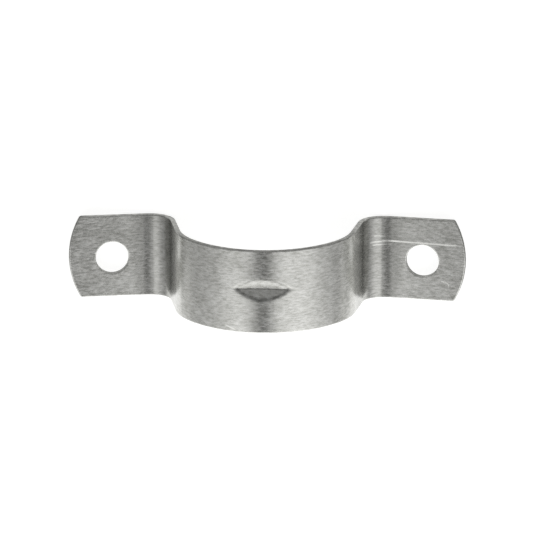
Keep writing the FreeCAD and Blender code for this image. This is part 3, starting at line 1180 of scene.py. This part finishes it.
    def _ramp(self, tree: Tree, place: Socket, stops: tuple[Glow, ...], span: float) -> Socket:
        """Add a smooth ramp of brightness.

        Args:
            tree: The material's node tree.
            place: Where on the ramp, from 0 to 1, with the middle of the span at 0.5.
            stops: The ramp's stops.
            span: The whole range of their places.

        Returns:
            The brightness.
        """
        levels = [(0.5 + stop.place / span, stop.level) for stop in stops]
        return add_ramp(tree, place, levels, RampCurve.ROUNDED)

    def _lay_table(self) -> None:
        """Lay the white table under the strap. It keeps the strap's shadow."""
        bpy.ops.object.select_all(action="DESELECT")
        bpy.ops.mesh.primitive_plane_add(size=self.table_size)
        table = bpy.context.object
        table.name = table.data.name = "studio_table"
        table.data.materials.append(self._table_board())

    def _table_board(self) -> bpy.types.Material:
        """Make the table's board: clean white to the eye, graded where the steel mirrors it.

        Returns:
            A matt white that also glows.
        """
        material = empty_material("white_matt_board")
        tree = material.node_tree
        colour = linear_colour(self.table_colour)
        board = add_node(tree, "ShaderNodeBsdfDiffuse", None, {"Color": colour})
        path = add_node(tree, "ShaderNodeLightPath")
        rays = (path.outputs["Is Glossy Ray"], path.outputs["Is Transmission Ray"])
        mirrored = calculate(tree, Sum.LARGER, *rays)
        in_metal = calculate(tree, Sum.MULTIPLY, mirrored, self._mirrored_light(tree))
        seen = path.outputs["Is Camera Ray"]
        strength = calculate(tree, Sum.MULTIPLY_ADD, seen, self.table_white, in_metal)
        glow = add_node(tree, "ShaderNodeEmission", None, {"Strength": strength})
        both = add_node(tree, "ShaderNodeAddShader", None, {0: board.outputs[0], 1: glow.outputs[0]})
        add_surface(tree, both.outputs[0])
        return material

    def _mirrored_light(self, tree: Tree) -> Socket:
        """Add how bright the table is where the steel mirrors it.

        Args:
            tree: The board's node tree.

        Returns:
            The brightness, by the place across the strip, and another one beside the ears.
        """
        way = split(tree, object_coordinates(tree))
        half = self.table_size / 2
        along = stretch(tree, way.outputs["Y"], (-half, half))
        middle = self._ramp(tree, along, self.table_light, self.table_size)
        side = self._ramp(tree, along, self.side_light, self.table_size)
        out = calculate(tree, Sum.SIZE, way.outputs["X"])
        to_side = stretch(tree, out, self.side_from, curve=Curve.SMOOTH)
        light = mix(tree, Mixed.LEVEL, to_side, middle, side)
        return calculate(tree, Sum.MULTIPLY, light, self.mirrored_gain)


@dataclass(frozen=True)
class StudioCamera:
    """The camera, nearly straight above the strap and a little towards +Y.

    The lens is in mm, on Blender's own sensor width.
    """

    lean: float = math.radians(18.6)
    swing: float = math.radians(2.53)
    roll: float = math.radians(0.167)
    distance: float = 1550.4 * MM
    lens: float = 347.7
    aim_below_top: float = 15.75 * MM
    aim_right: float = 1.41 * MM
    aim_up: float = 1.60 * MM

    def build(self) -> None:
        """Create the camera and make it the scene's own."""
        back = Vector(
            (
                math.sin(self.swing) * math.cos(self.lean),
                math.sin(self.lean),
                math.cos(self.swing) * math.cos(self.lean),
            )
        )
        level = Vector((math.cos(self.swing), 0.0, -math.sin(self.swing)))
        upright = back.cross(level)
        right = level * math.cos(self.roll) - upright * math.sin(self.roll)
        up = level * math.sin(self.roll) + upright * math.cos(self.roll)
        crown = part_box(NODE)[1].z
        aim = Vector((0.0, 0.0, crown - self.aim_below_top))
        aim = aim + right * self.aim_right + up * self.aim_up
        data = bpy.data.cameras.new("studio_camera")
        data.lens = self.lens
        data.clip_end = self.distance * CLIP_FACTOR
        camera = bpy.data.objects.new("studio_camera", data)
        turn = Matrix((right, up, back)).transposed().to_4x4()
        camera.matrix_world = Matrix.Translation(aim + back * self.distance) @ turn
        bpy.context.scene.collection.objects.link(camera)
        bpy.context.scene.camera = camera


def main() -> None:
    """Build the strap, dress it and set up the studio."""
    logging.basicConfig(level=logging.INFO, format="%(name)s: %(message)s")
    strap = ConduitStrap().build()
    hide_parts(NODE)
    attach(strap, "root")
    LOG.info("%s has %d faces", strap.name, len(strap.data.polygons))
    Studio().build()
    StudioCamera().build()


if __name__ == "__main__":
    main()
